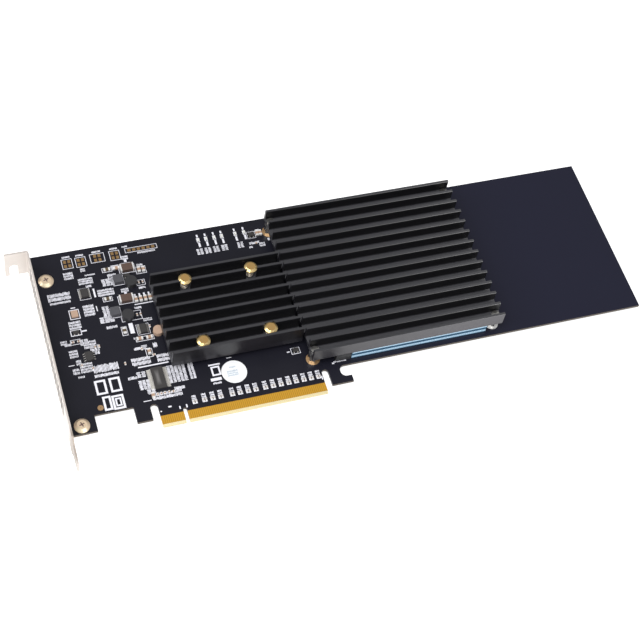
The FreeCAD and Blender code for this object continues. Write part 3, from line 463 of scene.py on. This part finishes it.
# marks above the edge connector
ink.bar(-11.7, 8.6, 0.7, 0.7)
ink.bar(-6.9, 10.3, 1.6, 0.8)
ink.bar(-2.2, 8.7, 0.7, 1.6)
ink.bar(1.3, 8.9, 0.7, 1.8)
ink.bar(72.0, 9.2, 0.6, 2.2)
LANES = (5.8, 10.8, 15.0, 19.1, 25.1, 29.1, 33.3, 37.3,
         42.3, 46.4, 50.5, 54.6, 58.5, 62.6, 66.5, 70.4)
for x in LANES:
    ink.outline(x, 10.2, 2.5, 2.3, 0.34)
    ink.marks(x, 12.7, 2.3, 2.5, rows=2)
ink.bar(28.8, 30.9, 2.6, 0.35)
ink.outline(63.2, 27.4, 4.8, 3.8)
ink.bar(59.4, 27.4, 1.6, 0.6)

# marks by the large heatsink and lamp columns along the top edge
for x in (32.0, 36.3, 40.8, 45.0, 52.4, 57.3):
    ink.outline(x, 104.3, 1.7, 2.8, 0.35)
    ink.bar(x, 107.0, 0.9, 1.7)
    ink.bar(x + 0.05, 101.2, 1.1, 2.8)
for x in (31.2, 35.6, 40.1, 44.7, 53.4):
    ink.marks(x, 96.9, 3.8, 3.4, upright=True, rows=2)
ink.marks(61.0, 96.6, 5.6, 1.8, rows=1)
ink.marks(64.9, 94.9, 3.2, 2.6, rows=2)
ink.marks(58.4, 94.2, 2.0, 1.2)
ink.bar(64.6, 103.2, 2.2, 3.2)
ink.bar(69.2, 97.4, 1.0, 1.6)
ink.outline(60.6, 101.9, 4.6, 4.4, 0.2)
ink.marks(83.8, 16.6, 6.8, 1.1)
ink.bar(80.0, 16.0, 1.2, 0.9)
card_piece(ink.form, "board_print", white_ink)

# Edge contacts: hard gold over nickel on copper, one strip per contact on both faces of the tongue.
# The tongue's edge is ground to a bevel with the strips on it, so each strip ends on the slope,
# and the strips on the slope are painted pale as a highlight along the bevelled edge.
gilt = finish("gilt", (0.66, 0.35, 0.034), (0.72, 0.41, 0.05), 0.34, metallic=0.55, scale=700.0,
              grain=(4000.0, 600.0, 4000.0), relief=0.08)
# Painted highlight: a pale gold for the strips on the bevel.
bevel_highlight_gilt = finish("bevel_highlight_gilt", (0.62, 0.55, 0.32), (0.60, 0.50, 0.27), 0.4, metallic=0.3,
                   scale=700.0, relief=0.08)
for node in ("contacts_component_side", "contacts_solder_side"):
    dress(node, gilt)
BOARD_THICK = 1.57
BEVEL_LENGTH = 1.4
BEVEL_DEPTH = 0.5
BEVEL_TIP = 0.12
STRIP_HALF = 0.35
STRIP_SKIN = 0.03
FIRST_STRIP = 1.5
LONG_ROW = 71
SHORT_ROW = 11
strips = [-FIRST_STRIP - k for k in range(SHORT_ROW)] + [FIRST_STRIP + k for k in range(LONG_ROW)]
slope = bmesh.new()
for x in strips:
    for solder_side in (False, True):
        corners = []
        for y in (BEVEL_LENGTH, BEVEL_TIP):
            fall = BEVEL_DEPTH * (1 - y / BEVEL_LENGTH)
            for proud in (0.0, STRIP_SKIN):
                corners.append((y, fall - proud - BOARD_THICK if solder_side else proud - fall))
        ring = [corners[0], corners[2], corners[3], corners[1]]
        left = [slope.verts.new(((x - STRIP_HALF) * MM, y * MM, z * MM)) for y, z in ring]
        right = [slope.verts.new(((x + STRIP_HALF) * MM, y * MM, z * MM)) for y, z in ring]
        slope.faces.new(left)
        slope.faces.new(right[::-1])
        for a in range(4):
            b = (a + 1) % 4
            slope.faces.new((left[a], right[a], right[b], left[b]))
bmesh.ops.recalc_face_normals(slope, faces=slope.faces)
card_piece(slope, "contact_bevels", bevel_highlight_gilt)

# Pad headers: bare square pads along the top edge, four groups of four and one row of six.
# They are copper with a thin gold wash, left open in the solder mask, and carry no pins.
header_gilt = finish("header_gilt", (0.26, 0.15, 0.06), (0.40, 0.27, 0.12), 0.4, metallic=0.5,
                     scale=700.0)
for node in ("header_pads", "header_row"):
    dress(node, header_gilt)

# Chips: moulded black epoxy bodies with tinned leads, placed on the board and reflow soldered.
# The flash chip has a long row of leads on two sides, each on its own bright land, and a grey
# band painted along the middle of its body as a reflection.
chip_epoxy = finish("chip_epoxy", (0.028, 0.026, 0.026), (0.045, 0.042, 0.042), 0.5, scale=1500.0,
                    relief=0.2)
# Painted reflection: a paler grey band along the middle of the flash chip's body.
overlay(chip_epoxy, (0.16, 0.155, 0.155), low=(-10.2, 22.5, 0.5), high=(-7.6, 32.0, 2),
        soft=(1.4, 4, 0.1))
tinned = finish("tinned_lead", (0.66, 0.64, 0.60), (0.76, 0.74, 0.70), 0.4, metallic=0.5, scale=900.0)
for node in ("flash_chip", "controller_chips", "regulator_chips"):
    soften(dress(node, chip_epoxy), 0.12 * MM)
for node in ("flash_chip_leads", "controller_chip_leads", "regulator_leads"):
    dress(node, tinned)
FLASH_X = -8.5
FLASH_Y = 27.1
LAND_REACH = 4.3
LAND_PITCH = 0.5
LAND_COUNT = 23
LAND_SIZE = (1.5, 0.4, 0.05)
lands = bmesh.new()
for k in range(LAND_COUNT):
    for side in (-1, 1):
        place = Vector(((FLASH_X + side * LAND_REACH) * MM,
                        (FLASH_Y + (k - LAND_COUNT // 2) * LAND_PITCH) * MM, LAND_SIZE[2] / 2 * MM))
        size = Matrix.Diagonal((*(edge * MM for edge in LAND_SIZE), 1))
        bmesh.ops.create_cube(lands, size=1, matrix=Matrix.Translation(place) @ size)
card_piece(lands, "flash_lands", tinned)

# Inductors: shielded chokes of the two small power supplies, pressed ferrite round a buried coil.
# The square ones are grey and matt, the round ones darker, and both are soldered at their feet.
ferrite = finish("ferrite", (0.055, 0.055, 0.065), (0.09, 0.09, 0.10), 0.55, scale=700.0)
dark_ferrite = finish("dark_ferrite", (0.02, 0.02, 0.022), (0.04, 0.04, 0.042), 0.45, scale=700.0)
soften(dress("square_inductors", ferrite), 0.4 * MM)
soften(dress("round_inductors", dark_ferrite), 0.4 * MM)

# Capacitors and diodes: fired ceramic chips in tan and a paler grade, moulded tantalum blocks and
# small diodes. Each has a cap of bright solder at both ends, where it was reflowed to the board.
tantalum = finish("tantalum", (0.085, 0.050, 0.038), (0.11, 0.07, 0.055), 0.5, scale=900.0)
soften(dress("tantalum_capacitors", tantalum), 0.25 * MM)
tan_ceramic = finish("capacitor_ceramic", (0.40, 0.26, 0.18), (0.48, 0.33, 0.24), 0.45, scale=900.0)
pale_ceramic = finish("pale_ceramic", (0.52, 0.47, 0.45), (0.60, 0.55, 0.54), 0.45, scale=900.0)
for node in ("large_chip_capacitors", "small_chip_capacitors", "rear_capacitors"):
    soften(dress(node, tan_ceramic), 0.08 * MM)
soften(dress("coupling_capacitors", pale_ceramic), 0.08 * MM)
dress("diodes", finish("diode", (0.09, 0.065, 0.035), (0.13, 0.09, 0.05), 0.5))
bright_tin = finish("bright_tin", (0.80, 0.79, 0.78), (0.88, 0.87, 0.86), 0.4, metallic=0.4,
                    scale=900.0)
END_PROUD = 0.03
END_SHARE = 0.27
LARGE_END_SHARE = 0.09
LARGE_LENGTH = 4.0


def islands(node):
    """Boxes (low, high) of the separate solids in one node, in metres."""
    form = bmesh.new()
    form.from_mesh(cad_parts[node].data)
    bmesh.ops.remove_doubles(form, verts=form.verts, dist=1e-7)
    waiting = set(form.verts)
    boxes = []
    while waiting:
        stack = [waiting.pop()]
        low = stack[0].co.copy()
        high = stack[0].co.copy()
        while stack:
            vert = stack.pop()
            for axis in range(3):
                low[axis] = min(low[axis], vert.co[axis])
                high[axis] = max(high[axis], vert.co[axis])
            for edge in vert.link_edges:
                other = edge.other_vert(vert)
                if other in waiting:
                    waiting.remove(other)
                    stack.append(other)
        boxes.append((low, high))
    form.free()
    return sorted(boxes, key=lambda pair: (round(pair[0].x, 5), round(pair[0].y, 5)))


ends = bmesh.new()
for node in ("large_chip_capacitors", "small_chip_capacitors", "rear_capacitors",
             "tantalum_capacitors", "diodes", "coupling_capacitors"):
    for low, high in islands(node):
        size = high - low
        axis = 0 if size.x > size.y else 1
        share = END_SHARE if size[axis] < LARGE_LENGTH * MM else LARGE_END_SHARE
        proud = Vector((END_PROUD, END_PROUD, END_PROUD)) * MM
        for far_end in (False, True):
            near, far = low.copy(), high.copy()
            if far_end:
                near[axis] = high[axis] - share * size[axis]
            else:
                far[axis] = low[axis] + share * size[axis]
            box = (far + proud) - (near - proud)
            place = Matrix.Translation((near + far) / 2) @ Matrix.Diagonal((*box, 1))
            bmesh.ops.create_cube(ends, size=1, matrix=place)
soften(card_piece(ends, "soldered_ends", bright_tin), 0.06 * MM)

# Oscillator, round capacitor and status lamps: a lidded ceramic can, a round peach coloured
# capacitor and clear moulded lamps in a row by the top edge, all soldered flat on the board.
peach = finish("peach_ceramic", (0.42, 0.28, 0.20), (0.54, 0.39, 0.30), 0.45, scale=900.0)
soften(dress("round_capacitor", peach), 0.3 * MM)
soften(dress("oscillator", peach), 0.2 * MM)
dress("status_lamps", finish("lamp", (0.75, 0.75, 0.70), (0.8, 0.8, 0.76), 0.25))

# Switch chip: green laminate with solder balls below, a nickel plated copper lid glued on top,
# and a soft grey pad that carries its heat into the small heatsink, which hides all three.
nickel = finish("nickel", (0.66, 0.65, 0.62), (0.74, 0.73, 0.70), 0.2, metallic=1.0, scale=900.0)
dress("switch_chip_substrate", finish("substrate", (0.02, 0.08, 0.04), (0.03, 0.10, 0.05), 0.4))
dress("switch_chip_lid", nickel)
dress("switch_thermal_pad", finish("grey_pad", (0.25, 0.25, 0.27), (0.3, 0.3, 0.32), 0.7))

# Drive bays: four moulded black sockets and four plated posts, soldered to the board, with a soft
# blue silicone pad below and above each drive. Each pad's front face carries one pale band painted
# on as a highlight, and the darker blue left between the bands stands for shade.
socket_plastic = finish("socket_plastic", (0.02, 0.02, 0.022), (0.03, 0.03, 0.032), 0.5)
soften(dress("drive_sockets", socket_plastic), 0.1 * MM)
soften(dress("drive_posts", nickel), 0.12 * MM)
blue_pad = finish("thermal_pad", (0.03, 0.10, 0.18), (0.04, 0.13, 0.22), 0.6, scale=250.0,
                  grain=(900.0, 900.0, 900.0), relief=0.3)
# Painted highlights: pale bands on the pads' front faces; the darker blue between them is painted
# shade.
overlay(blue_pad, (0.38, 0.54, 0.68), low=(-400, -400, 4.3), high=(400, 400, 5.9), soft=(1, 1, 0.4),
        facing=(0, -1, 0), threshold=0.5)
overlay(blue_pad, (0.38, 0.55, 0.70), low=(-400, -400, 0.4), high=(400, 400, 2.6), soft=(1, 1, 0.5),
        facing=(0, -1, 0), threshold=0.5)
for node in ("lower_thermal_pads", "upper_thermal_pads"):
    soften(dress(node, blue_pad), 0.15 * MM)

# Standoffs and screws of the large heatsink: bright nickel, a hexagon post at each corner with a
# screw down through the heatsink's base. Each post stands on a flat soldered copper ring, the rings at
# the right end painted near white as a highlight, and one small copper ring by the bracket marks the
# board's datum.
for node in ("heatsink_standoffs", "heatsink_screws"):
    soften(dress(node, nickel), 0.12 * MM)
copper = finish("copper_ring", (0.42, 0.26, 0.13), (0.52, 0.34, 0.18), 0.4, metallic=0.6, scale=700.0)
# Painted highlight: the rings at the right end of the card are painted near white.
overlay(copper, (0.85, 0.85, 0.86), low=(160, -400, -1))
RING_THICK = 0.03
POST_RING = (2.2, 3.6)
DATUM_RING = (0.2, 1.5)
DATUM_PLACE = (-39.9, 17.2)
RING_STEPS = 40


def flat_ring(form, x, y, radii):
    """Closed flat washer on the board, from inner and outer radius in millimetres."""
    rims = []
    for radius in radii:
        for z in (0.0, RING_THICK * MM):
            rim = []
            for k in range(RING_STEPS):
                angle = 2 * math.pi * k / RING_STEPS
                rim.append(form.verts.new((x + radius * MM * math.cos(angle),
                                           y + radius * MM * math.sin(angle), z)))
            rims.append(rim)
    order = (rims[0], rims[1], rims[3], rims[2])
    for a in range(4):
        near, far = order[a], order[(a + 1) % 4]
        for k in range(RING_STEPS):
            m = (k + 1) % RING_STEPS
            form.faces.new((near[k], near[m], far[m], far[k]))


rings = bmesh.new()
for low, high in islands("heatsink_standoffs"):
    middle = (low + high) / 2
    flat_ring(rings, middle.x, middle.y, POST_RING)
flat_ring(rings, DATUM_PLACE[0] * MM, DATUM_PLACE[1] * MM, DATUM_RING)
bmesh.ops.recalc_face_normals(rings, faces=rings.faces)
card_piece(rings, "post_rings", copper)

# Heatsinks: two aluminium extrusions, sawn to length and anodised black, with fins along the card.
# The die leaves fine lines along the fins. Light and shade are painted on: the fins' front faces
# darker as shade, the channel floors and the fins' tops paler as sheen, the tops paler still toward
# the right, a bright painted highlight on the upper front edge of each fin, and painted reflections on
# the front walls, rising toward the right on the large heatsink and darker in the middle of the small
# one.
black_anodised = finish("black_anodised", (0.012, 0.012, 0.016), (0.020, 0.019, 0.024), 0.36,
                        metallic=0.0, scale=300.0, grain=(120.0, 5000.0, 5000.0), relief=0.2,
                        depth=0.00003)
# Painted shade: the fins' faces toward the front are painted darker.
overlay(black_anodised, (0.004, 0.004, 0.005), low=(-400, -400, 6.6), high=(400, 400, 14.1),
        facing=(0, -1, 0))
# Painted sheen: the channel floors are painted paler.
overlay(black_anodised, (0.058, 0.058, 0.064), low=(-400, -400, 6.0), high=(400, 400, 8.6),
        facing=(0, 0, 1))
# Painted sheen: the fins' tops are painted paler, and paler still toward the right end.
overlay(black_anodised, (0.032, 0.032, 0.036), low=(-400, -400, 14.0), facing=(0, 0, 1), threshold=0.3)
overlay(black_anodised, (0.055, 0.055, 0.060), low=(100, -400, 14.0), soft=(75, 0.1, 0.1),
        facing=(0, 0, 1), threshold=0.3)
# Painted highlight: the upper front edge of each fin is painted bright, more so toward the right.
overlay(black_anodised, (0.42, 0.42, 0.42), low=(70, -400, 13.95), soft=(120, 0.1, 0.15),
        facing=(0, -0.74, 0.67), threshold=0.71)
# Painted reflection: the large heatsink's front wall is painted paler, rising toward the right.
overlay(black_anodised, (0.022, 0.021, 0.025), low=(67.8, 15, 6.1), high=(175, 17.2, 14.4),
        facing=(0, -1, 0))
overlay(black_anodised, (0.054, 0.051, 0.059), low=(75, 15, 6.1), high=(260, 17.2, 14.4),
        soft=(70, 0.1, 0.1), facing=(0, -1, 0))
# Painted shade: the small heatsink's front wall is painted darker in its middle.
overlay(black_anodised, (0.010, 0.009, 0.012), low=(-1, 29, 3), high=(68, 31.3, 14.4),
        soft=(25, 0.1, 0.1), facing=(0, -1, 0))
for node in ("switch_heatsink", "drive_heatsink"):
    soften(dress(node, black_anodised), 0.1 * MM)

# Push pins and springs: turned brass pins with a flat on the head, pushed through the small
# heatsink and the board, where a barb holds them. A coil of spring wire under each head presses
# the heatsink down on the switch chip.
turned_brass = finish("turned_brass", (0.95, 0.72, 0.34), (0.90, 0.64, 0.28), 0.25, metallic=0.8,
                      scale=800.0, relief=0.08)
# Painted light: the flat of each head is painted a deeper brass than the pale rest of the pin, so the
# rim round it reads as a highlight.
overlay(turned_brass, (0.70, 0.44, 0.16), low=(-400, -400, 14.0), facing=(0, 0, 1), threshold=0.9)
soften(dress("push_pins", turned_brass), 0.25 * MM)
spring_steel = finish("spring_steel", (0.75, 0.68, 0.58), (0.85, 0.80, 0.70), 0.3, metallic=0.7,
                      scale=900.0)
SPRING_TURNS = 5.5
STEPS_PER_TURN = 16
WIRE = 0.45 * MM


def coil_path(low, high):
    """Points of a compression coil that fills a box."""
    middle = (low + high) / 2
    radius = (high.x - low.x) / 2 - WIRE / 2
    bottom = low.z + WIRE / 2
    rise = high.z - low.z - WIRE
    steps = int(SPRING_TURNS * STEPS_PER_TURN)
    points = []
    for k in range(steps + 1):
        angle = k / steps * SPRING_TURNS * 2 * math.pi
        points.append(Vector((middle.x + radius * math.cos(angle),
                              middle.y + radius * math.sin(angle), bottom + rise * k / steps)))
    return points


coils = bpy.data.curves.new("spring_wire", "CURVE")
coils.dimensions = "3D"
coils.bevel_depth = WIRE / 2
coils.bevel_resolution = 2
for low, high in islands("push_pin_springs"):
    path = coil_path(low, high)
    wire = coils.splines.new("POLY")
    wire.points.add(len(path) - 1)
    for point, place in zip(wire.points, path):
        point.co = (*place, 1)
coil_piece = bpy.data.objects.new("push_pin_coils", coils)
bpy.context.scene.collection.objects.link(coil_piece)
coils.materials.append(spring_steel)
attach(coil_piece, "root")
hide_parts("push_pin_springs")

# Bracket: one blank of steel sheet, pressed out with its vent slots, folded at the screw tab and
# at two ears under the board, and plated bright nickel with a soft brushed grain. Light and shade are
# painted on: the lower part of the screw tab paler as a highlight, the slots' cut walls near black as
# shade, and the foot below the board darker as shade.
bracket_steel = finish("bracket_steel", (0.66, 0.61, 0.57), (0.60, 0.55, 0.51), 0.42, metallic=0.45,
                       scale=150.0, grain=(900.0, 60.0, 900.0), relief=0.15)
# Painted highlight: the lower part of the screw tab is painted paler.
overlay(bracket_steel, (0.95, 0.93, 0.90), low=(-75, 104.5, -4), high=(-59, 106, 8.5),
        soft=(3, 0.1, 9))
# Painted shade: the foot below the board is painted darker.
overlay(bracket_steel, (0.36, 0.31, 0.27), low=(-60, -16, -5), high=(-56, 3, 17), soft=(0.1, 4, 0.1))
# Painted shade: the slots' cut walls and their lower end walls are painted near black.
slot_wall_painted_shade = (0.012, 0.010, 0.009)
for way in ((0, -1, 0), (0, 1, 0)):
    overlay(bracket_steel, slot_wall_painted_shade, low=(-59, 15.5, 0.9), high=(-57, 97.5, 12.9), facing=way)
overlay(bracket_steel, slot_wall_painted_shade, low=(-59, 15.5, 0.9), high=(-57, 97.5, 1.6), facing=(0, 0, 1))
soften(dress("bracket", bracket_steel), 0.12 * MM)

# Bracket screws: two pan heads in yellow zinc plate, driven through the board into the ears.
# Each head carries a thin dark cross, standing just proud of its crown, painted as the shade of its
# cross recess, and its lower rim carries a painted highlight.
screw_zinc = finish("screw_zinc", (0.95, 0.74, 0.48), (0.97, 0.80, 0.68), 0.34, metallic=0.6,
                    scale=500.0, relief=0.1)
# Painted highlight: the side of each head toward the front is painted paler.
overlay(screw_zinc, (0.98, 0.86, 0.60), low=(-400, -400, 0.2), facing=(-0.2, -0.6, 0.75),
        threshold=0.8)
soften(dress("bracket_screws", screw_zinc), 0.3 * MM)
# Painted shade: a dark cross laid on each head stands for the shade in its cross recess.
recess_painted_shade = finish("recess_painted_shade", (0.16, 0.10, 0.09), (0.22, 0.14, 0.12), 0.5, metallic=0.4)
SCREW_TOP = 2.0
RECESS_DEEP = 0.3
RECESS_PROUD = 0.02
RECESS_REACH = 1.35
RECESS_HALF = 0.26
RECESS_TURN = 0.35
recesses = bmesh.new()
for x, y in ((-50.8, 9.3), (-50.8, 95.03)):
    cross = []
    for quarter in range(4):
        turn = Matrix.Rotation(quarter * math.pi / 2 + RECESS_TURN, 2)
        for across, along in ((RECESS_HALF * 1.3, RECESS_HALF * 1.3), (RECESS_HALF, RECESS_REACH),
                              (-RECESS_HALF, RECESS_REACH)):
            cross.append(turn @ Vector((across, along)))
    low, high = ([recesses.verts.new(((x + p.x) * MM, (y + p.y) * MM, level * MM)) for p in cross]
                 for level in (SCREW_TOP - RECESS_DEEP, SCREW_TOP + RECESS_PROUD))
    recesses.faces.new(low[::-1])
    recesses.faces.new(high)
    for k in range(len(low)):
        m = (k + 1) % len(low)
        recesses.faces.new((low[k], low[m], high[m], high[k]))
bmesh.ops.recalc_face_normals(recesses, faces=recesses.faces)
card_piece(recesses, "screw_recesses", recess_painted_shade)

# Round label: a white paper sticker, a tenth of a millimetre thick, pressed on by hand above the
# edge connector after the soldering. It carries only a faint field of plain strokes.
LABEL_THICK = 0.1
dress("round_label", finish("label_paper", (0.86, 0.87, 0.88), (0.78, 0.80, 0.82), 0.5, scale=300.0))
faint_blue = finish("label_print", (0.42, 0.50, 0.58), (0.48, 0.55, 0.62), 0.6, scale=900.0)
label_ink = Ink(9, level=LABEL_THICK)
label_ink.marks(28.4, 21.8, 5.6, 3.4, rows=3)
label_ink.marks(29.0, 25.2, 3.4, 1.0)
card_piece(label_ink.form, "label_marks", faint_blue)

# Floor, lights and camera: a plain pale sweep half a millimetre under the card, soft boxes above,
# in front and to the left, and a long lens from the front left.
FLOOR_GAP = 0.5 * MM
floor_form = bmesh.new()
bmesh.ops.create_grid(floor_form, x_segments=1, y_segments=1, size=6.0)
floor_mesh = bpy.data.meshes.new("floor")
floor_form.to_mesh(floor_mesh)
floor_form.free()
floor = bpy.data.objects.new("floor", floor_mesh)
floor.location.z = cad_box[0][2] - FLOOR_GAP
bpy.context.scene.collection.objects.link(floor)
pale_floor = finish("pale_floor", (0.5, 0.5, 0.5), (0.52, 0.52, 0.52), 0.9, scale=2.0, relief=0.0)
floor_shader = pale_floor.node_tree.nodes["Principled BSDF"]
floor_shader.inputs["Emission Color"].default_value = (1, 1, 1, 1)
floor_shader.inputs["Emission Strength"].default_value = 0.85
floor_shader.inputs["Specular IOR Level"].default_value = 0.0
floor_mesh.materials.append(pale_floor)


def soft_box(name, place, target, width, height, watts):
    """Rectangular studio light aimed at a point."""
    lamp = bpy.data.lights.new(name, "AREA")
    lamp.shape = "RECTANGLE"
    lamp.size = width
    lamp.size_y = height
    lamp.energy = watts
    holder = bpy.data.objects.new(name, lamp)
    holder.location = place
    aim = Vector(target) - Vector(place)
    holder.rotation_euler = aim.to_track_quat("-Z", "Y").to_euler()
    bpy.context.scene.collection.objects.link(holder)


soft_box("top_box", (-0.35, -0.25, 1.1), (0.1, 0.05, 0), 1.0, 1.0, 14)
soft_box("front_box", (0.35, -1.0, 0.35), (0.1, 0.05, 0), 0.9, 0.5, 6)
soft_box("left_box", (-1.0, 0.1, 0.5), (0, 0.05, 0), 0.8, 0.6, 5)
world = bpy.data.worlds.new("studio")
bpy.context.scene.world = world
world.use_nodes = True
sky = world.node_tree.nodes["Background"]
sky.inputs["Color"].default_value = (1, 1, 1, 1)
sky.inputs["Strength"].default_value = 0.35
bpy.context.scene.view_settings.view_transform = "Standard"

camera_data = bpy.data.cameras.new("camera")
camera_data.sensor_width = 36
camera_data.lens = 80.04
camera = bpy.data.objects.new("camera", camera_data)
camera.location = (-0.11808, -0.31112, 0.62041)
camera.rotation_euler = Euler([math.radians(turn) for turn in (32.322, -7.847, -17.315)], "XYZ")
bpy.context.scene.collection.objects.link(camera)
bpy.context.scene.camera = camera
